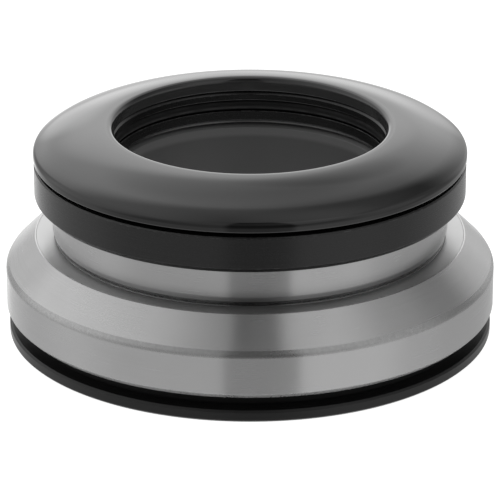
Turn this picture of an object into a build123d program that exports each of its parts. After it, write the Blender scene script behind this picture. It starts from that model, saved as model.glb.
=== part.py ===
from build123d import *
from dataclasses import dataclass
from math import cos, radians, sin, sqrt
import os

# Tapered integrated bicycle headset, stacked as it comes: crown race, lower bearing, upper bearing
# nested in the lower one's bore, compression ring, shim, dust cover and domed top cover.
# Millimetres, +Z up, origin at the bottom centre of the crown race. Everything turns about Z.

# Fork steerer: its diameter under the stem, and how much wider its seat on the fork crown is
steerer_diameter = 28.6
crown_growth = 11.2

# Gaps between pieces
seat_gap = 0.02
steerer_clearance = 0.05
bearing_bore_clearance = 0.1
ball_clearance = 0.05
pocket_clearance = 0.1
cage_clearance = 0.15
shield_clearance = 0.05
seal_clearance = 0.1
skirt_clearance = 0.25
hub_clearance = 0.05

# Ball bearings: radial section, height and 45 degree cone of each
lower_section = 5.9
lower_height = 8.0
lower_cone = 3.1
lower_ball_count = 24
upper_section = 5.65
upper_height = 8.0
upper_cone = 3.0
upper_ball_count = 20

# What both bearings share
ball_diameter = 3.175
contact_angle = 45.0
groove_wrap = 55.0
outer_edge = 0.55
outer_groove = 0.1
inner_edge = 0.3
inner_groove = 0.3
bevel_width = 0.3
bevel_drop = 0.18
race_gap = 0.65
shield_thickness = 0.4
shield_rim = 0.15
cage_thickness = 0.9
cage_rim = 0.45

# Crown race and its seal
flange_thickness = 1.25
flange_inset = 0.25
flange_edge = 0.2
crown_gap = 1.35
crown_lip = 0.8
crown_lead = 0.5
seal_width = 0.85
seal_base = 0.5
seal_lip = 0.45

# Compression ring and shim
sleeve_wall = 0.85
ring_head = 2.35
ring_rise = 1.32
ring_length = 6.8
ring_chamfer = 0.65
ring_slit = 1.6
shim_thickness = 0.25
shim_inset = 0.3

# Dust cover
plate_thickness = 1.01
band_height = 3.9
skirt_wall = 1.6
skirt_chamfer = 0.55
band_edge = 0.15
hub_wall = 2.7
hub_height = 3.31
hub_edge = 0.35
o_ring_cord = 1.2
o_ring_height = 1.68
skirt_seal_height = 0.5
skirt_seal_depth = 0.6
skirt_seal_rise = 0.3

# Top cover
shadow_gap = 0.47
cover_overhang = 0.07
cover_rise = 1.55
lip_radius = 0.5
land_width = 0.5
shoulder_angle = 23.0
shoulder_round = 7.0
rim_angle = 38.0
rim_round = 0.8
rim_flat = 0.49
rim_wall = 1.4
rim_edge = 0.15
shell = 1.2
rib_wall = 1.0
bore_edge = 0.1

OUTER = 1
INNER = -1


@dataclass
class Bearing:
    """An angular contact ball bearing. The cone is on top of the outer race if cone_up, else below."""

    name: str
    bore_radius: float
    section: float
    height: float
    cone: float
    ball_count: int
    base: float
    cone_up: bool

    @property
    def pitch_radius(self):
        """Radius of the circle that the ball centres lie on."""
        return self.bore_radius + self.section / 2

    @property
    def outer_radius(self):
        """Radius of the outside cylinder."""
        return self.bore_radius + self.section

    @property
    def middle(self):
        """Height of the ball centres."""
        return self.base + self.height / 2

    @property
    def top(self):
        """Height of the top face."""
        return self.base + self.height

    def point(self, side, out, up):
        """Section point, measured from the ball centre for the outer race of a bearing with its cone up.

        The inner race is the same section turned half a turn about the ball centre.
        """
        turn = side if self.cone_up else -side
        return self.pitch_radius + side * out, self.middle + turn * up


# Radii and heights that follow, from the bottom up
ball_radius = ball_diameter / 2
groove_radius = ball_radius + ball_clearance
pocket_radius = ball_radius + pocket_clearance
cage_reach = pocket_radius + cage_rim
race_relief = (cage_reach + cage_thickness / 2) / sqrt(2) + cage_clearance
hook_face = race_gap - race_relief
seat_shift = seat_gap * sqrt(2)

steerer_radius = steerer_diameter / 2
crown_radius = steerer_radius + crown_growth / 2
cover_bore = steerer_radius + steerer_clearance
sleeve_radius = steerer_radius + sleeve_wall

lower = Bearing("lower", crown_radius + bearing_bore_clearance, lower_section, lower_height, lower_cone,
                lower_ball_count, flange_thickness + crown_gap, True)

# The upper bearing's cone drops into the lower bore until it meets the bore's top edge
upper_bore = sleeve_radius + bearing_bore_clearance
nest_depth = lower.bore_radius + inner_edge - (upper_bore + upper_section - upper_cone)
upper = Bearing("upper", upper_bore, upper_section, upper_height, upper_cone,
                upper_ball_count, lower.top - max(nest_depth, 0) + seat_shift, False)

ring_top = upper.top + ring_rise
ring_head_radius = upper.bore_radius + ring_head
shim_top = ring_top + shim_thickness
band_top = shim_top + plate_thickness
band_bottom = band_top - band_height
skirt_bore = upper.outer_radius + skirt_clearance
band_radius = skirt_bore + skirt_wall
hub_radius = steerer_radius + hub_wall
hub_top = shim_top + hub_height
rim_bottom = band_top + shadow_gap
cover_radius = band_radius + cover_overhang
cover_top = hub_top + cover_rise


def save(piece, name):
    """Label a finished piece and write it to its own file."""
    piece.label = name
    export_step(piece, f"parts/{name}.step")


def slope(angle):
    """Unit vectors along and out of a surface that falls outwards at an angle."""
    sine = sin(radians(angle))
    cosine = cos(radians(angle))
    return Vector(cosine, -sine), Vector(sine, cosine)


def on_groove(angle):
    """Point of the ball groove at an angle, as (out, up) from the ball centre."""
    return groove_radius * cos(radians(angle)), groove_radius * sin(radians(angle))


def build_race(bearing, side, edge, shield_groove):
    """One race: ball groove, shoulder hooked over the balls with a ledge for its own shield, 45 degree cone,
    and on its back face a groove for the free edge of the other race's shield.
    """
    half_width = bearing.section / 2
    half_height = bearing.height / 2
    cone_out = half_width - bearing.cone
    cone_up = half_height - bearing.cone
    ledge_up = half_height - shield_thickness
    ledge_out = cone_out - shield_rim
    groove_out = race_relief + shield_groove
    groove_up = shield_thickness + shield_clearance - half_height
    groove = [on_groove(contact_angle + turn * groove_wrap) for turn in (-1, 0, 1)]
    outline = [
        groove[2],
        (groove[2][0], race_relief),
        (hook_face, race_relief),
        (hook_face, ledge_up),
        (ledge_out, ledge_up),
        (ledge_out, half_height),
        (cone_out, half_height),
        (half_width - bevel_width, cone_up + bevel_width),
        (half_width, cone_up - bevel_drop),
        (half_width, edge - half_height),
        (half_width - edge, -half_height),
        (groove_out, -half_height),
        (groove_out, groove_up),
        (race_relief, groove_up),
        (race_relief, groove[0][1]),
        groove[0],
    ]
    with BuildPart() as race:
        with BuildSketch(Plane.XZ):
            with BuildLine():
                ThreePointArc(*[bearing.point(side, *place) for place in groove])
                Polyline(*[bearing.point(side, *place) for place in outline])
            make_face()
        revolve(axis=Axis.Z)
    return race.part


def build_shield(bearing, side, shield_groove):
    """Thin steel ring on the ledge of one race, with its free edge in the groove of the other race."""
    half_width = bearing.section / 2
    half_height = bearing.height / 2
    ledge_out = half_width - bearing.cone - shield_rim
    seated = bearing.point(side, ledge_out - seat_gap, half_height - shield_thickness)
    free = bearing.point(side, shield_clearance - race_relief - shield_groove, half_height)
    with BuildPart() as shield:
        with BuildSketch(Plane.XZ):
            with BuildLine():
                Polyline(seated, (free[0], seated[1]), free, (seated[0], free[1]), close=True)
            make_face()
        revolve(axis=Axis.Z)
    return shield.part


def build_cage(bearing):
    """Conical band across the contact line, with a round pocket for each ball."""
    half = cage_thickness / 2
    corners = []
    for along, across in ((-cage_reach, -half), (cage_reach, -half), (cage_reach, half), (-cage_reach, half)):
        corners.append(bearing.point(OUTER, (across - along) / sqrt(2), (across + along) / sqrt(2)))
    with BuildPart(Plane.XY.offset(bearing.middle)) as cage:
        with BuildSketch(Plane.XZ):
            with BuildLine():
                Polyline(*corners, close=True)
            make_face()
        revolve(axis=Axis.Z)
        with PolarLocations(bearing.pitch_radius, bearing.ball_count):
            Sphere(pocket_radius, mode=Mode.SUBTRACT)
    return cage.part


def build_balls(bearing):
    """The set of balls, one in each pocket of the cage."""
    with BuildPart(Plane.XY.offset(bearing.middle)) as balls:
        with PolarLocations(bearing.pitch_radius, bearing.ball_count):
            Sphere(ball_radius)
    return balls.part


os.makedirs("parts", exist_ok=True)

# Bearings: the outer race's shield is on the cone's side, the inner race's shield on the other
for bearing in (lower, upper):
    cone_side, back_side = ("top", "bottom") if bearing.cone_up else ("bottom", "top")
    save(build_race(bearing, OUTER, outer_edge, outer_groove), f"{bearing.name}_outer_race")
    save(build_race(bearing, INNER, inner_edge, inner_groove), f"{bearing.name}_inner_race")
    save(build_shield(bearing, OUTER, inner_groove), f"{bearing.name}_{cone_side}_shield")
    save(build_shield(bearing, INNER, outer_groove), f"{bearing.name}_{back_side}_shield")
    save(build_cage(bearing), f"{bearing.name}_ball_cage")
    save(build_balls(bearing), f"{bearing.name}_balls")

# Crown race: flange on the fork crown, cone in the lower inner race
flange_radius = lower.outer_radius - flange_inset
cone_foot = lower.bore_radius + lower.cone - seat_shift
cone_head = crown_radius + crown_lip
with BuildPart() as crown_race:
    with BuildSketch(Plane.XZ):
        with BuildLine():
            Polyline(
                (crown_radius, crown_lead),
                (crown_radius + crown_lead, 0),
                (flange_radius, 0),
                (flange_radius, flange_thickness),
                (cone_foot, flange_thickness),
                (cone_foot, lower.base),
                (cone_head, lower.base + cone_foot - cone_head),
                (crown_radius, lower.base + cone_foot - cone_head),
                close=True,
            )
        make_face()
    revolve(axis=Axis.Z)
    chamfer(crown_race.edges().filter_by(Plane.XY).sort_by(SortBy.RADIUS)[-2:], length=flange_edge)
save(crown_race.part, "crown_race")

# Crown seal: rubber ring on the flange, with a lip up to the lower bearing's bottom shield
seal_bore = cone_foot + seal_clearance
seal_rim = seal_bore + seal_width
with BuildPart() as crown_seal:
    with BuildSketch(Plane.XZ):
        with BuildLine():
            Polyline(
                (seal_bore, flange_thickness),
                (seal_rim, flange_thickness),
                (seal_rim, lower.base - seal_clearance),
                (seal_rim - seal_lip, lower.base - seal_clearance),
                (seal_rim - seal_lip, flange_thickness + seal_base),
                (seal_bore, flange_thickness + seal_base),
                close=True,
            )
        make_face()
    revolve(axis=Axis.Z)
save(crown_seal.part, "crown_seal")

# Compression ring: split sleeve that the upper inner race's cone squeezes onto the steerer
cone_line = upper.top - upper.cone - upper.bore_radius + seat_shift
ring_bottom = ring_top - ring_length
with BuildPart() as compression_ring:
    with BuildSketch(Plane.XZ):
        with BuildLine():
            Polyline(
                (steerer_radius, ring_bottom),
                (sleeve_radius, ring_bottom),
                (sleeve_radius, cone_line + sleeve_radius),
                (ring_head_radius, cone_line + ring_head_radius),
                (ring_head_radius, ring_top),
                (steerer_radius + ring_chamfer, ring_top),
                (steerer_radius, ring_top - ring_chamfer),
                close=True,
            )
        make_face()
    revolve(axis=Axis.Z)
    with Locations((0, -ring_head_radius, ring_bottom + ring_length / 2)):
        Box(ring_slit, 2 * ring_head_radius, 2 * ring_length, mode=Mode.SUBTRACT)
save(compression_ring.part, "compression_ring")

# Shim washer that sets the dust cover's height
with BuildPart() as shim_washer:
    with BuildSketch(Plane.XY.offset(ring_top)):
        Circle(ring_head_radius - shim_inset)
        Circle(cover_bore, mode=Mode.SUBTRACT)
    extrude(amount=shim_thickness)
save(shim_washer.part, "shim_washer")

# Dust cover: hub round the steerer, plate on the shim, and skirt round the top of the upper bearing
o_ring_radius = steerer_radius + seat_gap + o_ring_cord / 2
o_ring_middle = shim_top + o_ring_height
groove_half = o_ring_cord / 2 + seat_gap
skirt_seal_bottom = band_bottom + skirt_seal_rise
with BuildPart() as dust_cover:
    with BuildSketch(Plane.XZ):
        with BuildLine():
            Polyline(
                (cover_bore, shim_top),
                (skirt_bore, shim_top),
                (skirt_bore, band_bottom),
                (band_radius, band_bottom),
                (band_radius, band_top),
                (hub_radius, band_top),
                (hub_radius, hub_top),
                (cover_bore + hub_edge, hub_top),
                (cover_bore, hub_top - hub_edge),
                close=True,
            )
        make_face()
        with Locations((o_ring_radius, o_ring_middle)):
            Rectangle(2 * groove_half, 2 * groove_half, mode=Mode.SUBTRACT)
        with Locations((skirt_bore, skirt_seal_bottom - seat_gap)):
            Rectangle(skirt_seal_depth, skirt_seal_height + 2 * seat_gap,
                      align=(Align.MIN, Align.MIN), mode=Mode.SUBTRACT)
    revolve(axis=Axis.Z)
    band_edges = dust_cover.edges().filter_by(Plane.XY).sort_by(SortBy.RADIUS)[-2:].sort_by(Axis.Z)
    chamfer(band_edges[0], length=skirt_chamfer)
    chamfer(band_edges[1], length=band_edge)
save(dust_cover.part, "dust_cover")

# O-ring in the hub's groove, against the steerer
with BuildPart(Plane.XY.offset(o_ring_middle)) as steerer_o_ring:
    Torus(o_ring_radius, o_ring_cord / 2)
save(steerer_o_ring.part, "steerer_o_ring")

# Rubber ring in the skirt's groove, with its lip close to the upper outer race
with BuildPart() as skirt_seal:
    with BuildSketch(Plane.XY.offset(skirt_seal_bottom)):
        Circle(skirt_bore + skirt_seal_depth - seat_gap)
        Circle(upper.outer_radius + seal_clearance, mode=Mode.SUBTRACT)
    extrude(amount=skirt_seal_height)
save(skirt_seal.part, "skirt_seal")

# Top cover: domed shell on the hub, with a rounded lip at the bore and a rim that rolls over in two arcs
land_end = (cover_bore + lip_radius + land_width, cover_top)
shoulder_fall, shoulder_normal = slope(shoulder_angle)
rim_fall, rim_normal = slope(rim_angle)
rim_side = Vector(cover_radius, rim_bottom + rim_flat)
rim_start = rim_side - Vector(rim_round, 0) + rim_normal * rim_round
shoulder = rim_start + (shoulder_normal - rim_normal) * shoulder_round
dome_fall = (cover_top - shoulder.Y) / (shoulder.X - land_end[0])
rib_bore = hub_radius + hub_clearance
rib_side = rib_bore + rib_wall
rim_bore = cover_radius - rim_wall
with BuildPart() as top_cover:
    with BuildSketch(Plane.XZ):
        with BuildLine():
            Line((cover_bore, cover_top), land_end)
            TangentArc(shoulder, land_end, tangent=-shoulder_fall)
            TangentArc(rim_start, shoulder, tangent=-rim_fall)
            TangentArc(rim_start, rim_side, tangent=rim_fall)
            Polyline(
                rim_side,
                (cover_radius, rim_bottom),
                (rim_bore, rim_bottom),
                (rim_bore, cover_top - shell - dome_fall * (rim_bore - land_end[0])),
                (rib_side, cover_top - shell - dome_fall * (rib_side - land_end[0])),
                (rib_side, rim_bottom),
                (rib_bore, rim_bottom),
                (rib_bore, hub_top),
                (cover_bore, hub_top),
                (cover_bore, cover_top),
            )
        make_face()
    revolve(axis=Axis.Z)
    circles = top_cover.edges().filter_by(Plane.XY)
    bore_circles = circles.sort_by(SortBy.RADIUS)[:2].sort_by(Axis.Z)
    rim_circles = circles.sort_by(SortBy.RADIUS)[-2:].sort_by(Axis.Z)
    chamfer(bore_circles[0], length=bore_edge)
    fillet(bore_circles[1], radius=lip_radius)
    fillet(rim_circles[0], radius=rim_edge)
save(top_cover.part, "top_cover")
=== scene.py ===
"""Dressed studio scene of a tapered integrated bicycle headset, standing as a loose stack.

Lengths are in metres. Every ring is turned about the steering axis, which is the frame's Z axis.
"""

import logging
import math
from dataclasses import dataclass, field
from enum import Enum, IntEnum
from typing import Any

import bpy
import numpy as np
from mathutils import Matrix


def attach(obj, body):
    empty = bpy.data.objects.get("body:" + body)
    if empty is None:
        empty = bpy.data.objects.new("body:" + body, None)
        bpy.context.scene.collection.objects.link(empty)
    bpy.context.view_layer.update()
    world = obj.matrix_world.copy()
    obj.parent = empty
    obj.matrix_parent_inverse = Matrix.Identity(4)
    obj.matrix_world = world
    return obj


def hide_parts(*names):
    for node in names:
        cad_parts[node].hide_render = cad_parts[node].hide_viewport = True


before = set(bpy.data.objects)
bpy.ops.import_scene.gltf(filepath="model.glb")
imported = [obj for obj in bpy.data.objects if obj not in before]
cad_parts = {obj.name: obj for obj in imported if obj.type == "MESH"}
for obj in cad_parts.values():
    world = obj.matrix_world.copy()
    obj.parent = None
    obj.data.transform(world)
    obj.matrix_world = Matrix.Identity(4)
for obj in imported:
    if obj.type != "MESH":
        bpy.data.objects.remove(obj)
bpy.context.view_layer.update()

MM = 0.001

# Steps round the axis, round a corner and along a curve
TURN_STEPS = 192
ARC_STEPS = 7
CURVE_STEPS = 40

# Least length, cosine and turn that are divided by
TINY_LENGTH = 1e-15
TINY_COSINE = 1e-9
TINY_TURN = 1e-6

# Share of a side that a rounding may take, and where the flat next to it starts
MOST_ROUNDING = 0.4
FLAT_START = 1.25

# Directions in a section, and the vector that leaves out the height
OUTWARD = np.array([1.0, 0.0])
INWARD = np.array([-1.0, 0.0])
LEVEL = (1, 1, 0)

# Turn of the gloss that lays it across the grinding lines
QUARTER_TURN = 0.25

log = logging.getLogger("headset")

Socket = bpy.types.NodeSocket
Inputs = dict[str | int, Any]
Colour = tuple[float, float, float, float]


class Body(Enum):
    """Rigid bodies of the stack."""

    FORK_SIDE = "fork_side"
    LOWER_RING = "lower_ring"
    STEERER_SIDE = "steerer_side"


class Slot(Enum):
    """Material slots of the record."""

    GLOSS_COVER = "gloss_cover"
    BLACK_ANODISED = "black_anodised"
    RING_ALLOY = "ring_alloy"
    CROWN_ALLOY = "crown_alloy"
    RACE_STEEL = "race_steel"
    SHIELD_STEEL = "shield_steel"
    BALL_STEEL = "ball_steel"
    CAGE_NYLON = "cage_nylon"
    SEAL_RUBBER = "seal_rubber"


class Edge(IntEnum):
    """Kinds of corner.

    A flat between two corners of the same kind above WORN is a bevel or lip, as raw as they are.
    """

    CLEAN = -1
    WORN = 0
    BACK_BEVEL = 1
    CONE_BEVEL = 2
    LIP = 3


class Side(Enum):
    """The two races of a bearing, by the way that their section points."""

    OUTER = 1
    INNER = -1


def grey(value: float, warmth: float = 0.0) -> Colour:
    """Grey of a given linear value, tinted warm or, below zero, cool."""
    return (value * (1 + warmth), value, value * (1 - warmth), 1.0)


def unit(vectors: np.ndarray) -> np.ndarray:
    """Rows scaled to length one; a row of zeros stays as it is."""
    lengths = np.linalg.norm(vectors, axis=-1, keepdims=True)
    return vectors / np.maximum(lengths, TINY_LENGTH)


# Shader nodes


class NodeTree:
    """Adds nodes to a shader tree and holds the patterns that the finishes share."""

    LINE_SLANT = 1.7
    LINE_DETAIL = 2.0

    def __init__(self, tree: bpy.types.NodeTree) -> None:
        """Keeps the tree that the nodes go into."""
        self.tree = tree

    def add(self, kind: str, inputs: Inputs | None = None, **settings: Any) -> bpy.types.Node:
        """Adds one node.

        Args:
            kind: Type of node, without the ShaderNode prefix.
            inputs: Plain values or output sockets, by the input's name or number.
            settings: Properties of the node.

        Returns:
            The new node.
        """
        node = self.tree.nodes.new("ShaderNode" + kind)
        for name, value in settings.items():
            setattr(node, name, value)
        for key, value in (inputs or {}).items():
            self.feed(node.inputs[key], value)
        return node

    def feed(self, socket: Socket, value: Any) -> None:
        """Links an output socket to an input, or sets the input to a plain value."""
        if isinstance(value, Socket):
            self.tree.links.new(value, socket)
        else:
            socket.default_value = value

    def math(self, operation: str, *values: Any) -> Socket:
        """Result of a math node on sockets or plain numbers."""
        return self.add("Math", dict(enumerate(values)), operation=operation).outputs[0]

    def vector(self, operation: str, *values: Any) -> Socket:
        """Result of a vector math node: a number for a length or dot product, or else a vector."""
        node = self.add("VectorMath", dict(enumerate(values)), operation=operation)
        return node.outputs["Value" if operation in ("LENGTH", "DOT_PRODUCT") else "Vector"]

    def between(
        self, value: Any, start: float, end: float, low: Any = 0.0, high: Any = 1.0
    ) -> Socket:
        """Smooth step from low to high as a value goes from start to end."""
        limits = {"From Min": start, "From Max": end, "To Min": low, "To Max": high}
        inputs = {"Value": value, **limits}
        return self.add("MapRange", inputs, interpolation_type="SMOOTHSTEP").outputs[0]

    def spread(self, noise: Socket, reach: float, low: Any, high: Any) -> Socket:
        """Smooth step from low to high over the middle of a noise, a reach either way."""
        return self.between(noise, 0.5 - reach, 0.5 + reach, low, high)

    def mixed(self, first: Socket, second: Socket, share: float) -> Socket:
        """Two noises added up, the first with a given share and the second with the rest."""
        rest = self.math("MULTIPLY", second, 1 - share)
        return self.math("MULTIPLY_ADD", first, share, rest)

    def blend(self, factor: Any, first: Any, second: Any) -> Socket:
        """Colour that goes from the first to the second with a factor."""
        return self.add("Mix", {0: factor, 6: first, 7: second}, data_type="RGBA").outputs[2]

    def place(self) -> Socket:
        """Point of the surface, in Object coordinates."""
        return self.add("TexCoord").outputs["Object"]

    def height(self) -> Socket:
        """Height of the surface above the origin."""
        return self.add("SeparateXYZ", {0: self.place()}).outputs["Z"]

    def off_axis(self) -> Socket:
        """Vector from the axis straight out to the surface."""
        return self.vector("MULTIPLY", self.place(), LEVEL)

    def radius(self) -> Socket:
        """Distance of the surface from the axis."""
        return self.vector("LENGTH", self.off_axis())

    def in_bore(self, bore: float, near: float, far: float) -> Socket:
        """Mask of a bore's wall: 1 up to a near distance outside it, and 0 past a far one."""
        return self.between(self.radius(), bore + near, bore + far, 1.0, 0.0)

    def grain(self, size: float, detail: float = 3.0) -> Socket:
        """Even noise in Object coordinates, with lumps of about a given size."""
        inputs = {"Vector": self.place(), "Scale": 1 / size, "Detail": detail}
        return self.add("TexNoise", inputs).outputs[0]

    def turned_lines(self, pitch: float, breaks: float) -> Socket:
        """Fine rings left by turning or grinding about the axis.

        Noise in four dimensions: the fourth is the height plus LINE_SLANT times the radius,
        counted in pitches, so that it changes across every face of a ring, and the others are the
        direction from the axis, so that there is no seam.

        Args:
            pitch: Distance between lines.
            breaks: How often the lines fade in a turn.

        Returns:
            The noise, from 0 to 1.
        """
        heading = self.vector("NORMALIZE", self.off_axis())
        round_axis = self.vector("MULTIPLY", heading, (breaks, breaks, breaks))
        slanted = self.math("MULTIPLY_ADD", self.radius(), self.LINE_SLANT, self.height())
        across = self.math("DIVIDE", slanted, pitch)
        inputs = {"Vector": round_axis, "W": across, "Scale": 1.0, "Detail": self.LINE_DETAIL}
        return self.add("TexNoise", inputs, noise_dimensions="4D").outputs[0]

    def bump(self, height: Socket, depth: float, strength: float) -> Socket:
        """Normal of a surface that a height from 0 to 1 lifts by up to a depth."""
        inputs = {"Height": height, "Distance": depth, "Strength": strength}
        return self.add("Bump", inputs).outputs[0]

    def edge(self) -> Socket:
        """The piece's own edge mark: 1 on worn corners, less on raw bevels and lips, or else 0."""
        return self.add("Attribute", attribute_name="edge").outputs["Fac"]


# Finishes


@dataclass(frozen=True)
class Finish:
    """A procedural surface that a record slot stands for."""

    slot: Slot
    dark: Colour
    light: Colour
    rough_low: float
    rough_high: float
    rough_reach: float = 0.2

    def material(self) -> bpy.types.Material:
        """Makes the material and lets the finish add its nodes."""
        made = bpy.data.materials.new(self.slot.value)
        made.use_nodes = True
        self.shade(NodeTree(made.node_tree), made.node_tree.nodes["Principled BSDF"].inputs)
        return made

    def shade(self, nodes: NodeTree, surface: Any) -> None:
        """Adds the finish's nodes and feeds the surface's sockets."""
        raise NotImplementedError

    def tint(self, nodes: NodeTree, noise: Socket) -> Socket:
        """Colour that follows a noise from the dark to the light tone."""
        return nodes.blend(noise, self.dark, self.light)

    def gloss(self, nodes: NodeTree, noise: Socket) -> Socket:
        """Roughness that follows the middle of a noise from its low to its high value."""
        return nodes.spread(noise, self.rough_reach, self.rough_low, self.rough_high)


@dataclass(frozen=True)
class GlossLacquer(Finish):
    """Black under a thick clear lacquer with a trace of orange peel.

    The bore is paler and keeps its turning marks.
    """

    peel_size: float = 0.9 * MM
    peel_depth: float = 0.0006 * MM
    peel_detail: float = 1.0
    fleck_size: float = 0.12 * MM
    bore: float = 14.35 * MM
    bore_near: float = 0.03 * MM
    bore_far: float = 0.12 * MM
    bore_tone: Colour = grey(0.03)
    line_pitch: float = 0.08 * MM
    line_depth: float = 0.012 * MM
    line_breaks: float = 1.0
    coat_rough: float = 0.03
    coat_ior: float = 1.5

    def shade(self, nodes: NodeTree, surface: Any) -> None:
        """Adds flecks under the lacquer, orange peel on it, and the bore with its marks."""
        flecks = nodes.grain(self.fleck_size)
        inside = nodes.in_bore(self.bore, self.bore_near, self.bore_far)
        lines = nodes.turned_lines(self.line_pitch, self.line_breaks)
        marks = nodes.math("MULTIPLY", lines, self.line_depth)
        lumps = nodes.grain(self.peel_size, self.peel_detail)
        peel = nodes.math("MULTIPLY", lumps, self.peel_depth)
        relief = nodes.math("MULTIPLY_ADD", marks, inside, peel)
        colour = nodes.blend(inside, self.tint(nodes, flecks), self.bore_tone)
        nodes.feed(surface["Base Color"], colour)
        nodes.feed(surface["Roughness"], self.gloss(nodes, flecks))
        nodes.feed(surface["Coat Normal"], nodes.bump(relief, depth=1.0, strength=1.0))
        surface["Coat Weight"].default_value = 1.0
        surface["Coat Roughness"].default_value = self.coat_rough
        surface["Coat IOR"].default_value = self.coat_ior
        surface["Specular IOR Level"].default_value = 0.0


@dataclass(frozen=True)
class SatinAnodised(Finish):
    """Blasted and dyed aluminium.

    It has a fine even grain, faint turning marks, and edges a little polished by handling.
    """

    rough_reach: float = 0.15
    grain_size: float = 0.07 * MM
    grain_depth: float = 0.004 * MM
    grain_strength: float = 0.25
    line_pitch: float = 0.12 * MM
    line_breaks: float = 1.5
    line_share: float = 0.3
    wear_size: float = 0.6 * MM
    wear_start: float = 0.45
    wear_end: float = 0.7
    wear_most: float = 0.6
    worn: Colour = grey(0.06)
    sheen_level: float = 0.5

    def shade(self, nodes: NodeTree, surface: Any) -> None:
        """Adds the grain, the turning marks and the lighter edges."""
        grain = nodes.grain(self.grain_size)
        lines = nodes.turned_lines(self.line_pitch, self.line_breaks)
        mottle = nodes.mixed(lines, grain, self.line_share)
        nodes.feed(surface["Base Color"], self.tone(nodes, mottle))
        nodes.feed(surface["Roughness"], self.gloss(nodes, mottle))
        nodes.feed(surface["Normal"], nodes.bump(grain, self.grain_depth, self.grain_strength))
        surface["Specular IOR Level"].default_value = self.sheen_level

    def tone(self, nodes: NodeTree, mottle: Socket) -> Socket:
        """Colour of the dyed skin, with its worn edges."""
        noise = nodes.grain(self.wear_size)
        patches = nodes.between(noise, self.wear_start, self.wear_end, 0.0, self.wear_most)
        wear = nodes.math("MULTIPLY", nodes.edge(), patches)
        return nodes.blend(wear, self.tint(nodes, mottle), self.worn)


@dataclass(frozen=True)
class LitBandAlloy(SatinAnodised):
    """Anodised ring whose bore wall is painted paler near its top, below the chamfer: painted
    light where the lamps reach into the bore.
    """

    bore: float = 14.3 * MM
    bore_near: float = 0.02 * MM
    bore_far: float = 0.1 * MM
    lit_band_low: float = 15.75 * MM
    lit_band_high: float = 16.35 * MM
    painted_light_tone: Colour = grey(0.1)

    def tone(self, nodes: NodeTree, mottle: Socket) -> Socket:
        """Colour of the dyed skin, with its worn edges and the painted light high on the bore's
        wall.
        """
        inside = nodes.in_bore(self.bore, self.bore_near, self.bore_far)
        # Painted light: the bore's wall turns paler towards its top, standing in for lamp light
        # that reaches into the bore
        band = nodes.between(nodes.height(), self.lit_band_low, self.lit_band_high)
        painted_light = nodes.math("MULTIPLY", band, inside)
        return nodes.blend(painted_light, super().tone(nodes, mottle), self.painted_light_tone)


@dataclass(frozen=True)
class GroundSteel(Finish):
    """Stainless steel ground round the axis, so that its gloss spreads across the grinding lines.

    The stone leaves out the rounded corners and bevels, which keep the darker skin of the
    hardening. A share of the metal is bare, and a thin grey film of grease dulls the rest.
    """

    line_pitch: float = 0.06 * MM
    line_depth: float = 0.0008 * MM
    line_breaks: float = 1.2
    line_share: float = 0.6
    line_strength: float = 0.3
    cloud_size: float = 4.0 * MM
    cloud_detail: float = 2.0
    anisotropy: float = 1.0
    raw: Colour = grey(0.2)
    raw_rough: float = 0.5
    patch_size: float = 0.3 * MM
    patch_reach: float = 0.2
    patch_low: float = 0.45
    patch_high: float = 0.85
    bare: float = 1.0

    def shade(self, nodes: NodeTree, surface: Any) -> None:
        """Adds the grinding lines, the slow changes of tone along them and the raw edges."""
        lines = nodes.turned_lines(self.line_pitch, self.line_breaks)
        clouds = nodes.grain(self.cloud_size, self.cloud_detail)
        tone = nodes.mixed(lines, clouds, self.line_share)
        noise = nodes.grain(self.patch_size)
        patches = nodes.spread(noise, self.patch_reach, self.patch_low, self.patch_high)
        edge = nodes.math("MULTIPLY", nodes.edge(), patches)
        colour = nodes.blend(edge, self.tint(nodes, tone), self.raw)
        rough = nodes.between(edge, 0.0, 1.0, self.gloss(nodes, tone), self.raw_rough)
        round_axis = nodes.add("Tangent", direction_type="RADIAL", axis="Z").outputs[0]
        nodes.feed(surface["Base Color"], colour)
        nodes.feed(surface["Roughness"], rough)
        nodes.feed(surface["Normal"], nodes.bump(lines, self.line_depth, self.line_strength))
        nodes.feed(surface["Tangent"], round_axis)
        surface["Metallic"].default_value = self.bare
        surface["Anisotropic"].default_value = self.anisotropy
        surface["Anisotropic Rotation"].default_value = QUARTER_TURN


@dataclass(frozen=True)
class PolishedSteel(Finish):
    """Lapped steel with a film of grease that comes and goes."""

    rough_reach: float = 0.15
    film_size: float = 1.5 * MM

    def shade(self, nodes: NodeTree, surface: Any) -> None:
        """Adds the patchy film."""
        film = nodes.grain(self.film_size)
        nodes.feed(surface["Base Color"], self.tint(nodes, film))
        nodes.feed(surface["Roughness"], self.gloss(nodes, film))
        surface["Metallic"].default_value = 1.0


@dataclass(frozen=True)
class Moulding(Finish):
    """Moulded rubber or nylon: fine skin texture and uneven sheen."""

    skin_size: float = 0.12 * MM
    skin_depth: float = 0.01 * MM
    skin_strength: float = 0.3
    tone_scale: float = 12.0
    sheen_level: float = 0.5

    def shade(self, nodes: NodeTree, surface: Any) -> None:
        """Adds the skin texture and the uneven tone."""
        skin = nodes.grain(self.skin_size)
        tone = nodes.grain(self.tone_scale * self.skin_size)
        nodes.feed(surface["Base Color"], self.tint(nodes, tone))
        nodes.feed(surface["Roughness"], self.gloss(nodes, tone))
        nodes.feed(surface["Normal"], nodes.bump(skin, self.skin_depth, self.skin_strength))
        surface["Specular IOR Level"].default_value = self.sheen_level


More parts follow.
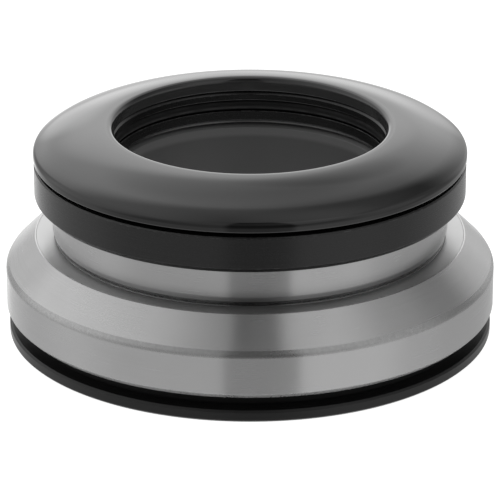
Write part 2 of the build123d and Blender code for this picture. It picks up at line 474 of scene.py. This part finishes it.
GLOSS = GlossLacquer(Slot.GLOSS_COVER, grey(0.003), grey(0.006), 0.3, 0.4)
ANODISED = SatinAnodised(
    Slot.BLACK_ANODISED, grey(0.004), grey(0.008), 0.2, 0.28, sheen_level=0.35
)
# Compression ring, with a painted pool of light high on its bore's wall
DARK_ALLOY = LitBandAlloy(Slot.RING_ALLOY, grey(0.045), grey(0.065), 0.4, 0.5)
CROWN = SatinAnodised(
    Slot.CROWN_ALLOY, grey(0.004), grey(0.008), 0.3, 0.4, worn=grey(0.02), sheen_level=0.27
)
RACE = GroundSteel(Slot.RACE_STEEL, grey(0.37), grey(0.45), 0.2, 0.28)
SHIELD = GroundSteel(
    Slot.SHIELD_STEEL, grey(0.32), grey(0.4), 0.28, 0.36, anisotropy=0.4, bare=0.85
)
OILED_SHIM = GroundSteel(Slot.SHIELD_STEEL, grey(0.1), grey(0.15), 0.4, 0.5, raw=grey(0.06))
BALL = PolishedSteel(Slot.BALL_STEEL, grey(0.62), grey(0.75), 0.04, 0.12)
NYLON = Moulding(Slot.CAGE_NYLON, grey(0.1, 0.1), grey(0.16, 0.1), 0.45, 0.6)
RUBBER = Moulding(Slot.SEAL_RUBBER, grey(0.003), grey(0.006), 0.5, 0.7, sheen_level=0.2)


class Paint:
    """One material for each finish, shared by all the pieces that have it."""

    def __init__(self) -> None:
        """Starts without materials."""
        self.materials: dict[Finish, bpy.types.Material] = {}

    def dress(self, piece: bpy.types.Object, finish: Finish) -> None:
        """Gives a piece its finish in place of any that it has."""
        if finish not in self.materials:
            self.materials[finish] = finish.material()
        piece.data.materials.clear()
        piece.data.materials.append(self.materials[finish])


# Turned shapes


@dataclass(frozen=True)
class Span:
    """Radii and heights that a turned CAD node reaches."""

    bore: float
    rim: float
    low: float
    high: float

    @classmethod
    def of(cls, node: str) -> "Span":
        """Reads the span of a CAD node from its vertices."""
        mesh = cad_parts[node].data
        places = np.empty(3 * len(mesh.vertices))
        mesh.vertices.foreach_get("co", places)
        x, y, z = places.reshape(-1, 3).T
        radii = np.hypot(x, y)
        return cls(float(radii.min()), float(radii.max()), float(z.min()), float(z.max()))


def tangent_arc(start: np.ndarray, end: np.ndarray, heading: np.ndarray) -> np.ndarray:
    """Points of a circle's arc that leaves its start along a heading and passes through its end.

    The centre lies on the normal at the start, as far off as the chord's square over twice its
    share along that normal, and the arc turns by twice the angle between the heading and the
    chord.

    Args:
        start: First point, as radius and height.
        end: Last point.
        heading: Unit vector along the arc at its start.

    Returns:
        The points, one a row, both ends included.
    """
    normal = np.array([-heading[1], heading[0]])
    chord = end - start
    reach = chord @ chord / (2 * chord @ normal)
    turn = 2 * math.atan2(chord @ normal, chord @ heading)
    angles = np.linspace(0, turn, CURVE_STEPS)[:, None]
    return start + reach * (np.sin(angles) * heading + (1 - np.cos(angles)) * normal)


@dataclass
class Section:
    """Closed outline of a turned ring, drawn corner by corner, anticlockwise.

    A row holds a corner's radius and height, the radius that it is rounded to, and its kind.
    """

    rows: list[np.ndarray] = field(default_factory=list)
    raw_share: float = 0.4

    @classmethod
    def flat_ring(cls, node: str, rounding: float, edge: Edge = Edge.WORN) -> "Section":
        """Section of a flat ring that fills the span of a CAD node."""
        span = Span.of(node)
        return (
            cls()
            .to(span.bore, span.low, rounding, edge)
            .to(span.rim, span.low, rounding, edge)
            .to(span.rim, span.high, rounding, edge)
            .to(span.bore, span.high, rounding, edge)
        )

    def to(
        self, radius: float, height: float, rounding: float = 0.0, edge: Edge = Edge.WORN
    ) -> "Section":
        """Adds a corner, the radius that it is rounded to, and its kind."""
        self.rows.append(np.array([[radius, height, rounding, edge]]))
        return self

    def along(self, points: np.ndarray) -> "Section":
        """Adds the points of a smooth curve."""
        self.rows.append(np.pad(points, ((0, 0), (0, 2))))
        return self

    def outline(self) -> tuple[np.ndarray, np.ndarray]:
        """Points of the outline with its corners rounded, and the edge mark of each.

        At a corner whose sides meet at twice an angle, an arc of radius p touches both sides at p
        over the tangent of that angle, and its centre is p over the sine from the corner. The arc
        turns evenly from one touching point to the other, and one more point on each side keeps
        the flats next to it flat. The flat of a bevel has the mark of the two corners that bound
        it.

        Returns:
            Points as radius and height, and a mark from 0 to 1 for each.
        """
        corners = np.vstack(self.rows)
        here, rounding, kind = corners[:, :2], corners[:, 2], corners[:, 3]
        to_last = np.roll(here, 1, axis=0) - here
        to_next = np.roll(here, -1, axis=0) - here
        room = np.minimum(np.linalg.norm(to_last, axis=1), np.linalg.norm(to_next, axis=1))
        to_last, to_next = unit(to_last), unit(to_next)
        half = np.arccos(np.clip((to_last * to_next).sum(axis=1), -1, 1)) / 2
        reach = np.minimum(rounding / np.tan(half), MOST_ROUNDING * room)[:, None]
        inward = unit(to_last + to_next)
        centre = here + inward * reach / np.cos(half)[:, None].clip(TINY_COSINE)
        first, last = here + to_last * reach, here + to_next * reach
        turn = np.maximum(np.pi - 2 * half, TINY_TURN)[:, None, None]
        share = np.linspace(0, 1, ARC_STEPS)[None, :, None]
        from_first = np.sin((1 - share) * turn) * (first - centre)[:, None]
        from_last = np.sin(share * turn) * (last - centre)[:, None]
        arc = centre[:, None] + (from_first + from_last) / np.sin(turn)
        before = here + to_last * reach * FLAT_START
        after = here + to_next * reach * FLAT_START
        points = np.concatenate([before[:, None], arc, after[:, None]], axis=1)
        raw = kind > Edge.WORN
        mark = np.select([kind == Edge.CLEAN, raw], [0.0, self.raw_share], 1.0)
        edge = np.repeat(mark[:, None], points.shape[1], axis=1)
        edge[:, 0] *= raw & (kind == np.roll(kind, 1))
        edge[:, -1] *= raw & (kind == np.roll(kind, -1))
        sharp = rounding == 0
        kept = np.ones(points.shape[:2], bool)
        kept[sharp, 1:] = False
        edge[sharp] = 0
        return points[kept], edge[kept]


@dataclass
class Lathe:
    """Turns a section about the axis, all the way round or up to a straight slit in front."""

    name: str
    section: Section
    slit: float = 0.0

    def grid(self, points: np.ndarray) -> np.ndarray:
        """Places of the turned surface.

        The point at (i, j) is (r cos t, r sin t, z) for outline point i, where t runs from -90
        degrees round to 270 degrees. With a slit of width w, both ends keep the angle whose sine
        is w / 2r away from -90 degrees.

        Args:
            points: Outline as radius and height.

        Returns:
            An array of outline points by turning steps by three.
        """
        radius, height = points[:, :1], points[:, 1:]
        share = np.linspace(0, 1, TURN_STEPS, endpoint=self.slit > 0)[None]
        gap = np.arcsin(self.slit / 2 / radius)
        angle = gap - np.pi / 2 + share * 2 * (np.pi - gap)
        places = [radius * np.cos(angle), radius * np.sin(angle), height + 0 * angle]
        return np.stack(places, axis=-1)

    def build(self) -> bpy.types.Object:
        """Makes the mesh from quads between neighbours on the grid, with capped ends at a slit."""
        points, edge = self.section.outline()
        places = self.grid(points)
        number = np.arange(places.shape[0] * places.shape[1]).reshape(places.shape[:2])
        over = np.roll(number, -1, axis=0)
        beside, beside_over = np.roll(number, -1, axis=1), np.roll(over, -1, axis=1)
        corners = np.stack([number, beside, beside_over, over], axis=-1)
        if self.slit:
            corners = corners[:, :-1]
        quads = corners.reshape(-1, 4)
        faces = quads.tolist()
        if self.slit:
            faces += [number[:, 0].tolist(), number[::-1, -1].tolist()]
        mesh = bpy.data.meshes.new(self.name)
        mesh.from_pydata(places.reshape(-1, 3), [], faces)
        mesh.polygons.foreach_set("use_smooth", np.arange(len(faces)) < len(quads))
        spread = np.broadcast_to(edge[:, None], number.shape).astype(np.float32)
        mesh.attributes.new("edge", "FLOAT", "POINT").data.foreach_set("value", spread.ravel())
        mesh.update()
        piece = bpy.data.objects.new(self.name, mesh)
        bpy.context.scene.collection.objects.link(piece)
        return piece


@dataclass
class Assembly:
    """Common work of the sub-assemblies: turning a ring, seating it in the frame, dressing it."""

    paint: Paint

    def turn(
        self, node: str, section: Section, body: Body, finish: Finish, slit: float = 0.0
    ) -> bpy.types.Object:
        """Turns the ring that stands for a CAD node.

        Args:
            node: CAD node that the ring replaces.
            section: Outline of the ring.
            body: Body that it rides on.
            finish: Finish that it takes.
            slit: Width of a slit that splits it in front.

        Returns:
            The finished piece.
        """
        piece = Lathe(node + "_turned", section, slit).build()
        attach(piece, body.value)
        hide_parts(node)
        self.paint.dress(piece, finish)
        log.info("%s: %d faces", piece.name, len(piece.data.polygons))
        return piece

    def keep(self, node: str, finish: Finish) -> None:
        """Dresses a CAD node that shows as it is."""
        self.paint.dress(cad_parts[node], finish)
        log.info("%s: CAD node, dressed", node)


# Sub-assemblies


@dataclass
class Bearing(Assembly):
    """Angular contact bearing: two hooked races with cones, two shields, balls in their cage.

    The section of a race is drawn from the ball centre, outwards and up, for the outer race of a
    bearing with its cone on top. The inner race is that section turned half a turn, and the other
    bearing is upside down.
    """

    name: str
    cone_up: bool
    outer_body: Body
    inner_body: Body
    cone: float
    outer_edge: float = 0.55 * MM
    outer_groove: float = 0.1 * MM
    inner_edge: float = 0.3 * MM
    inner_groove: float = 0.3 * MM
    bevel_width: float = 0.3 * MM
    bevel_drop: float = 0.18 * MM
    raw_bevel: bool = True
    groove_radius: float = 1.6375 * MM
    groove_low: float = math.radians(-10)
    groove_high: float = math.radians(100)
    race_relief: float = 1.9797 * MM
    hook_face: float = -1.3297 * MM
    shield_rim: float = 0.15 * MM
    shield_thickness: float = 0.4 * MM
    shield_clearance: float = 0.05 * MM
    edge_round: float = 0.09 * MM
    bevel_foot_round: float = 0.8 * MM
    bevel_head_round: float = 0.25 * MM
    cone_round: float = 0.03 * MM
    lip_round: float = 0.02 * MM

    def __post_init__(self) -> None:
        """Reads the bearing's main sizes from its CAD races."""
        outer = Span.of(f"{self.name}_outer_race")
        inner = Span.of(f"{self.name}_inner_race")
        self.half_width = (outer.rim - inner.bore) / 2
        self.half_height = (outer.high - outer.low) / 2
        self.pitch_radius = (outer.rim + inner.bore) / 2
        self.middle = (outer.high + outer.low) / 2

    def race(self, side: Side, edge: float, shield_groove: float) -> Section:
        """Section of one race.

        Args:
            side: Which race.
            edge: Width of the chamfer at the back face.
            shield_groove: Depth of the groove there for the other race's shield.

        Returns:
            The section, anticlockwise.
        """
        half_width, half_height = self.half_width, self.half_height
        cone_foot = half_height - self.cone
        bevel_head = half_width - self.bevel_width
        ledge = half_height - self.shield_thickness
        lip = half_width - self.cone - self.shield_rim
        step = self.race_relief + shield_groove
        step_up = self.shield_thickness + self.shield_clearance - half_height
        bevel = Edge.CONE_BEVEL if self.raw_bevel else Edge.CLEAN
        angles = np.linspace(self.groove_high, self.groove_low, CURVE_STEPS)
        groove = self.groove_radius * np.column_stack([np.cos(angles), np.sin(angles)])
        corners = np.array([
            (self.race_relief, groove[-1, 1], 0, Edge.CLEAN),
            (self.race_relief, step_up, self.lip_round, Edge.CLEAN),
            (step, step_up, 0, Edge.CLEAN),
            (step, -half_height, self.lip_round, Edge.CLEAN),
            (half_width - edge, -half_height, self.edge_round, Edge.BACK_BEVEL),
            (half_width, edge - half_height, self.edge_round, Edge.BACK_BEVEL),
            (half_width, cone_foot - self.bevel_drop, self.bevel_foot_round, bevel),
            (bevel_head, cone_foot + self.bevel_width, self.bevel_head_round, bevel),
            (half_width - self.cone, half_height, self.cone_round, Edge.LIP),
            (lip, half_height, self.lip_round, Edge.LIP),
            (lip, ledge, 0, Edge.CLEAN),
            (self.hook_face, ledge, self.lip_round, Edge.CLEAN),
            (self.hook_face, self.race_relief, self.lip_round, Edge.CLEAN),
            (groove[0, 0], self.race_relief, 0, Edge.CLEAN),
        ])
        rows = np.vstack([np.pad(groove, ((0, 0), (0, 2))), corners])
        turn = side.value if self.cone_up else -side.value
        rows[:, 0] = self.pitch_radius + side.value * rows[:, 0]
        rows[:, 1] = self.middle + turn * rows[:, 1]
        return Section([rows if self.cone_up else rows[::-1]])

    def build(self) -> None:
        """Builds and dresses the races and shields, and dresses the cage and the balls."""
        cone_side, back_side = ("top", "bottom") if self.cone_up else ("bottom", "top")
        outer = self.race(Side.OUTER, self.outer_edge, self.outer_groove)
        inner = self.race(Side.INNER, self.inner_edge, self.inner_groove)
        rings = (
            ("outer", outer, self.outer_body, cone_side),
            ("inner", inner, self.inner_body, back_side),
        )
        for word, section, body, shield_side in rings:
            self.turn(f"{self.name}_{word}_race", section, body, RACE)
            shield = f"{self.name}_{shield_side}_shield"
            flat = Section.flat_ring(shield, self.lip_round, Edge.CLEAN)
            self.turn(shield, flat, body, SHIELD)
        self.keep(f"{self.name}_ball_cage", NYLON)
        self.keep(f"{self.name}_balls", BALL)


@dataclass
class CrownRace(Assembly):
    """Flanged cone on the fork crown, with a rubber ring that seals the gap above the flange."""

    flange_thickness: float = 1.25 * MM
    flange_edge: float = 0.2 * MM
    lead: float = 0.5 * MM
    head_wall: float = 0.8 * MM
    cone_width: float = 2.3717 * MM
    seal_base: float = 0.5 * MM
    seal_lip: float = 0.45 * MM
    edge_round: float = 0.08 * MM
    seal_round: float = 0.15 * MM

    def ring(self) -> Section:
        """Section of the crown race: flange with chamfered rim, neck and cone."""
        span = Span.of("crown_race")
        head = span.bore + self.head_wall
        foot = head + self.cone_width
        flange = span.low + self.flange_thickness
        edge = self.edge_round
        return (
            Section()
            .to(span.bore, span.low + self.lead, edge)
            .to(span.bore + self.lead, span.low, edge)
            .to(span.rim - self.flange_edge, span.low, edge)
            .to(span.rim, span.low + self.flange_edge, edge)
            .to(span.rim, flange - self.flange_edge, edge)
            .to(span.rim - self.flange_edge, flange, edge)
            .to(foot, flange)
            .to(foot, span.high - self.cone_width, edge)
            .to(head, span.high, edge)
            .to(span.bore, span.high, edge)
        )

    def seal(self) -> Section:
        """Section of the rubber ring: base on the flange and lip near the rim."""
        span = Span.of("crown_seal")
        base = span.low + self.seal_base
        edge = self.seal_round
        return (
            Section()
            .to(span.bore, span.low, edge)
            .to(span.rim, span.low, edge)
            .to(span.rim, span.high, edge)
            .to(span.rim - self.seal_lip, span.high, edge)
            .to(span.rim - self.seal_lip, base, edge)
            .to(span.bore, base, edge)
        )

    def build(self) -> None:
        """Builds and dresses both rings."""
        self.turn("crown_race", self.ring(), Body.FORK_SIDE, CROWN)
        self.turn("crown_seal", self.seal(), Body.FORK_SIDE, RUBBER)


@dataclass
class Preload(Assembly):
    """Split compression ring that grips the steerer, and the shim washer on it."""

    sleeve_wall: float = 0.85 * MM
    head_depth: float = 1.9417 * MM
    chamfer: float = 0.65 * MM
    slit: float = 1.6 * MM
    edge_round: float = 0.07 * MM

    def ring(self) -> Section:
        """Section of the compression ring: sleeve, 45 degree cone, head with chamfered bore."""
        span = Span.of("compression_ring")
        sleeve = span.bore + self.sleeve_wall
        head = span.high - self.head_depth
        edge = self.edge_round
        return (
            Section()
            .to(span.bore, span.low, edge)
            .to(sleeve, span.low, edge)
            .to(sleeve, head - (span.rim - sleeve))
            .to(span.rim, head, edge)
            .to(span.rim, span.high, edge)
            .to(span.bore + self.chamfer, span.high, edge)
            .to(span.bore, span.high - self.chamfer, edge)
        )

    def build(self) -> None:
        """Builds and dresses both rings."""
        shim = Section.flat_ring("shim_washer", self.edge_round)
        self.turn("compression_ring", self.ring(), Body.STEERER_SIDE, DARK_ALLOY, self.slit)
        self.turn("shim_washer", shim, Body.STEERER_SIDE, OILED_SHIM)


@dataclass
class DustCover(Assembly):
    """Dust cover with its hub and skirt, the O-ring in the hub, the rubber ring in the skirt."""

    plate_thickness: float = 1.01 * MM
    skirt_wall: float = 1.6 * MM
    skirt_chamfer: float = 0.55 * MM
    band_edge: float = 0.15 * MM
    hub_wall: float = 2.65 * MM
    hub_edge: float = 0.35 * MM
    groove_gap: float = 0.02 * MM
    seal_groove: float = 0.6 * MM
    edge_round: float = 0.07 * MM
    seal_round: float = 0.1 * MM

    def cover(self) -> Section:
        """Section of the dust cover: plate on the shim, skirt with a chamfered foot, and hub."""
        span = Span.of("dust_cover")
        plate = Span.of("shim_washer").high
        cord = Span.of("steerer_o_ring")
        seal = Span.of("skirt_seal")
        skirt = span.rim - self.skirt_wall
        groove = skirt + self.seal_groove
        band_top = plate + self.plate_thickness
        hub = span.bore + self.hub_wall
        gap = self.groove_gap
        edge = self.edge_round
        return (
            Section()
            .to(span.bore, plate, edge)
            .to(skirt, plate)
            .to(skirt, seal.high + gap, edge)
            .to(groove, seal.high + gap)
            .to(groove, seal.low - gap)
            .to(skirt, seal.low - gap, edge)
            .to(skirt, span.low, edge)
            .to(span.rim - self.skirt_chamfer, span.low, edge)
            .to(span.rim, span.low + self.skirt_chamfer, edge)
            .to(span.rim, band_top - self.band_edge, edge)
            .to(span.rim - self.band_edge, band_top, edge)
            .to(hub, band_top)
            .to(hub, span.high, edge)
            .to(span.bore + self.hub_edge, span.high, edge)
            .to(span.bore, span.high - self.hub_edge, edge)
            .to(span.bore, cord.high + gap, edge)
            .to(cord.rim + gap, cord.high + gap)
            .to(cord.rim + gap, cord.low - gap)
            .to(span.bore, cord.low - gap, edge)
        )

    def cord(self) -> Section:
        """Section of the O-ring, a circle."""
        span = Span.of("steerer_o_ring")
        angles = np.linspace(0, 2 * np.pi, CURVE_STEPS, endpoint=False)
        ring = np.column_stack([np.cos(angles), np.sin(angles)]) * (span.high - span.low) / 2
        return Section().along(ring + [(span.bore + span.rim) / 2, (span.low + span.high) / 2])

    def build(self) -> None:
        """Builds and dresses the cover and its two rubber rings."""
        seal = Section.flat_ring("skirt_seal", self.seal_round)
        self.turn("dust_cover", self.cover(), Body.STEERER_SIDE, ANODISED)
        self.turn("steerer_o_ring", self.cord(), Body.STEERER_SIDE, RUBBER)
        self.turn("skirt_seal", seal, Body.STEERER_SIDE, RUBBER)


@dataclass
class TopCover(Assembly):
    """Domed shell on the hub, with a rounded lip at the bore and a rim that rolls over in arcs."""

    lip_radius: float = 0.5 * MM
    lip_fall: float = 0.04 * MM
    land_width: float = 0.5 * MM
    land_fall: float = 0.0035 * MM
    land_roll: float = 0.1 * MM
    shoulder_angle: float = math.radians(23)
    shoulder_round: float = 7.0 * MM
    rim_angle: float = math.radians(38)
    rim_round: float = 0.8 * MM
    rim_flat: float = 0.49 * MM
    rim_wall: float = 1.4 * MM
    rim_edge: float = 0.15 * MM
    shell: float = 1.2 * MM
    rib_bore: float = 17.05 * MM
    rib_wall: float = 1.0 * MM
    bore_edge: float = 0.1 * MM
    edge_round: float = 0.06 * MM

    @staticmethod
    def slope(angle: float) -> tuple[np.ndarray, np.ndarray]:
        """Unit vectors straight out of a slope of a given angle, and down along it."""
        out = np.array([math.sin(angle), math.cos(angle)])
        return out, np.array([out[1], -out[0]])

    def cover(self) -> Section:
        """Section of the cover.

        The dome is a circle's arc from the land to the shoulder, the shoulder a tighter one down
        to the rim, and the rim the tightest, down to its flat side. Each arc leaves the next one
        along the same slope. On the other side the land rolls over a low crest and falls to the
        lip, whose arc ends upright on the bore's wall: from a slope s, an arc that moves in by w
        falls by w cos s / (1 - sin s) until it is upright.

        Returns:
            The section, anticlockwise.
        """
        span = Span.of("top_cover")
        hub = Span.of("dust_cover").high
        lip = np.array([span.bore + self.lip_radius, span.high - self.lip_fall])
        land = np.array([lip[0] + self.land_width, span.high - self.land_fall])
        crest = np.array([land[0] - self.land_roll, span.high])
        lean = 2 * math.atan2(crest[1] - lip[1], crest[0] - lip[0])
        lip_heading = -np.array([math.cos(lean), math.sin(lean)])
        wall = lip - self.lip_radius * np.array([1, math.cos(lean) / (1 - math.sin(lean))])
        rim_out, rim_down = self.slope(self.rim_angle)
        shoulder_out, shoulder_down = self.slope(self.shoulder_angle)
        side = np.array([span.rim, span.low + self.rim_flat])
        rim = side - [self.rim_round, 0] + self.rim_round * rim_out
        shoulder = rim + self.shoulder_round * (shoulder_out - rim_out)
        fall = (land[1] - shoulder[1]) / (shoulder[0] - land[0])
        rib = self.rib_bore + self.rib_wall
        inside = span.rim - self.rim_wall
        ceiling = span.high - self.shell
        edge = self.edge_round
        return (
            Section()
            .to(span.bore, hub + self.bore_edge, edge)
            .to(span.bore + self.bore_edge, hub, edge)
            .to(self.rib_bore, hub)
            .to(self.rib_bore, span.low, edge)
            .to(rib, span.low, edge)
            .to(rib, ceiling - fall * (rib - land[0]))
            .to(inside, ceiling - fall * (inside - land[0]))
            .to(inside, span.low, edge)
            .to(span.rim, span.low, self.rim_edge)
            .along(tangent_arc(rim, side, rim_down)[::-1])
            .along(tangent_arc(rim, shoulder, -rim_down)[1:])
            .along(tangent_arc(shoulder, land, -shoulder_down)[1:])
            .along(tangent_arc(crest, land, OUTWARD)[-2::-1])
            .along(tangent_arc(crest, lip, INWARD)[1:])
            .along(tangent_arc(lip, wall, lip_heading)[1:])
        )

    def build(self) -> None:
        """Builds and dresses the cover."""
        self.turn("top_cover", self.cover(), Body.STEERER_SIDE, GLOSS)


# Studio


@dataclass(frozen=True)
class Panel:
    """Round soft patch of the tent, and the light that it adds or takes away.

    Its place and size are in degrees as seen from the object, with the heading counted from the
    front to the right.
    """

    heading: float
    rise: float
    reach: float
    soft: float
    glow: float

    def light(self, nodes: NodeTree, direction: Socket) -> Socket:
        """Light along a direction: a smooth step on the cosine of its angle to the middle."""
        heading, rise = math.radians(self.heading), math.radians(self.rise)
        across, up = math.cos(rise), math.sin(rise)
        middle = (across * math.sin(heading), -across * math.cos(heading), up)
        cosine = nodes.vector("DOT_PRODUCT", direction, middle)
        outer = math.cos(math.radians(min(self.reach + self.soft, 180)))
        inner = math.cos(math.radians(max(self.reach - self.soft, 0)))
        return nodes.between(cosine, outer, inner, 0.0, self.glow)


PANELS = (
    # Behind: the main light, with brighter and dimmer patches
    Panel(-172, 34, 32, 10, 0.98),
    Panel(-172, 26, 8, 6, 0.5),
    Panel(-169, 8, 6, 5, 0.6),
    Panel(180, 5, 6, 5, 0.35),
    Panel(171, 3, 6, 5, 0.42),
    Panel(176, 23, 4, 4, 0.25),
    Panel(-176, 49, 11, 7, -0.5),
    Panel(171, 38, 5, 5, -0.3),
    # Left, right and front
    Panel(-115, 30, 45, 25, 0.7),
    Panel(-150, 12, 18, 14, -0.48),
    Panel(150, 12, 18, 14, 0.44),
    Panel(150, 42, 18, 14, -0.2),
    Panel(135, 68, 16, 13, 0.2),
    Panel(60, 68, 16, 13, 0.3),
    Panel(70, 42, 18, 14, 0.15),
    Panel(75, 12, 18, 14, 0.35),
    Panel(35, 42, 18, 14, 0.4),
    Panel(-35, 42, 18, 14, 0.2),
    # Below, where the table throws light back
    Panel(-172, -15, 14, 10, 0.35),
    Panel(-165, -25, 20, 16, 0.31),
    Panel(-125, -25, 20, 16, -0.22),
    Panel(45, -25, 20, 16, 0.24),
    Panel(0, -90, 60, 20, 0.91),
)


@dataclass
class Studio:
    """Pale floor, a soft light tent that opens in front, and the camera.

    Heights on the slit are sines of the elevation.
    """

    eye_elevation: float = math.radians(23.2706)
    eye_distance: float = 0.37433
    tilt_up: float = math.radians(1.178)
    lens: float = 251.26
    sensor: float = 36.0
    clip_near: float = 0.01
    clip_far: float = 20.0
    floor_half: float = 3.0
    floor_drop: float = 0.01 * MM
    floor_dark: Colour = grey(0.48)
    floor_light: Colour = grey(0.52)
    floor_mottle: float = 0.02
    floor_rough: float = 0.9
    floor_glow: float = 0.9
    wall: float = 0.41
    slit_heading: float = math.radians(5.5)
    slit_half: float = math.radians(17.5)
    slit_soft: float = math.radians(2.5)
    slit_shade: float = 0.87
    slit_foot: tuple[float, float] = (-1.0, 0.2)
    slit_head: tuple[float, float] = (0.93, 0.985)
    pale_height: float = 0.67
    pale_reach: tuple[float, float] = (0.1, 0.3)
    pale_share: float = 0.75

    def camera(self) -> None:
        """Places the camera on the eye's line to the origin and tilts it up from there."""
        data = bpy.data.cameras.new("camera")
        data.lens = self.lens
        data.sensor_width = self.sensor
        data.clip_start = self.clip_near
        data.clip_end = self.clip_far
        eye = bpy.data.objects.new("camera", data)
        across, rise = math.cos(self.eye_elevation), math.sin(self.eye_elevation)
        eye.location = (0, -self.eye_distance * across, self.eye_distance * rise)
        eye.rotation_euler = (math.pi / 2 - self.eye_elevation + self.tilt_up, 0, 0)
        bpy.context.scene.collection.objects.link(eye)
        bpy.context.scene.camera = eye

    def floor(self) -> None:
        """Lays a pale floor, a square grid of two by two points, that glows enough to stay even.

        It lies a hair under the flange, so that the two faces don't fall together.
        """
        sides = np.array([-self.floor_half, self.floor_half])
        x, y = np.meshgrid(sides, sides)
        places = np.stack([x, y, 0 * x - self.floor_drop], axis=-1).reshape(-1, 3)
        mesh = bpy.data.meshes.new("floor")
        mesh.from_pydata(places, [], [(0, 1, 3, 2)])
        floor = bpy.data.objects.new("floor", mesh)
        made = bpy.data.materials.new("floor")
        made.use_nodes = True
        surface = made.node_tree.nodes["Principled BSDF"].inputs
        nodes = NodeTree(made.node_tree)
        mottle = nodes.grain(self.floor_mottle)
        tone = nodes.blend(mottle, self.floor_dark, self.floor_light)
        nodes.feed(surface["Base Color"], tone)
        surface["Roughness"].default_value = self.floor_rough
        surface["Specular IOR Level"].default_value = 0.0
        surface["Emission Color"].default_value = grey(1.0)
        surface["Emission Strength"].default_value = self.floor_glow
        mesh.materials.append(made)
        floor.visible_glossy = False
        bpy.context.scene.collection.objects.link(floor)

    def slit(self, nodes: NodeTree, direction: Socket) -> Socket:
        """Share of the light that is left along a direction by the dim slit in front.

        The shade is a smooth step on the cosine of the heading's angle to the slit's middle. It
        fades at the slit's foot and head, and is a little paler at one height between them.

        Args:
            nodes: Tree that the nodes go into.
            direction: Direction as seen from the object.

        Returns:
            The share, from 0 to 1.
        """
        level = nodes.vector("NORMALIZE", nodes.vector("MULTIPLY", direction, LEVEL))
        front = (math.sin(self.slit_heading), -math.cos(self.slit_heading), 0)
        ahead = nodes.vector("DOT_PRODUCT", level, front)
        outer = math.cos(self.slit_half + self.slit_soft)
        inner = math.cos(self.slit_half - self.slit_soft)
        rise = nodes.add("SeparateXYZ", {0: direction}).outputs["Z"]
        foot = nodes.between(rise, *self.slit_foot)
        head = nodes.between(rise, *self.slit_head, 1.0, 0.0)
        off = nodes.math("ABSOLUTE", nodes.math("SUBTRACT", rise, self.pale_height))
        pale = nodes.between(off, *self.pale_reach, self.pale_share, 1.0)
        upright = nodes.math("MULTIPLY", nodes.math("MULTIPLY", foot, head), pale)
        shade = nodes.math("MULTIPLY", nodes.between(ahead, outer, inner), upright)
        return nodes.math("MULTIPLY_ADD", shade, -self.slit_shade, 1.0)

    def tent(self) -> None:
        """Lights the scene by direction: even walls, the panels, and the slit in front."""
        world = bpy.data.worlds.new("tent")
        world.use_nodes = True
        bpy.context.scene.world = world
        nodes = NodeTree(world.node_tree)
        direction = nodes.add("TexCoord").outputs["Generated"]
        light: Any = self.wall
        for panel in PANELS:
            light = nodes.math("ADD", panel.light(nodes, direction), light)
        surface = world.node_tree.nodes["Background"].inputs
        strength = nodes.math("MULTIPLY", light, self.slit(nodes, direction))
        nodes.feed(surface["Strength"], strength)
        surface["Color"].default_value = grey(1.0)

    def build(self) -> None:
        """Sets up the floor, the light and the camera."""
        self.floor()
        self.tent()
        self.camera()
        bpy.context.scene.view_settings.view_transform = "Standard"


def main() -> None:
    """Builds the stack from the bottom up, then the studio."""
    logging.basicConfig(level=logging.INFO, format="%(message)s")
    paint = Paint()
    lower = Bearing(
        paint,
        name="lower",
        cone_up=True,
        outer_body=Body.LOWER_RING,
        inner_body=Body.FORK_SIDE,
        cone=3.1 * MM,
    )
    upper = Bearing(
        paint,
        name="upper",
        cone_up=False,
        outer_body=Body.FORK_SIDE,
        inner_body=Body.STEERER_SIDE,
        cone=3.0 * MM,
        bevel_width=0.15 * MM,
        bevel_drop=0.33 * MM,
        raw_bevel=False,
    )
    stack = (
        CrownRace(paint),
        lower,
        upper,
        Preload(paint),
        DustCover(paint),
        TopCover(paint),
    )
    for part in stack:
        part.build()
    Studio().build()


if __name__ == "__main__":
    main()
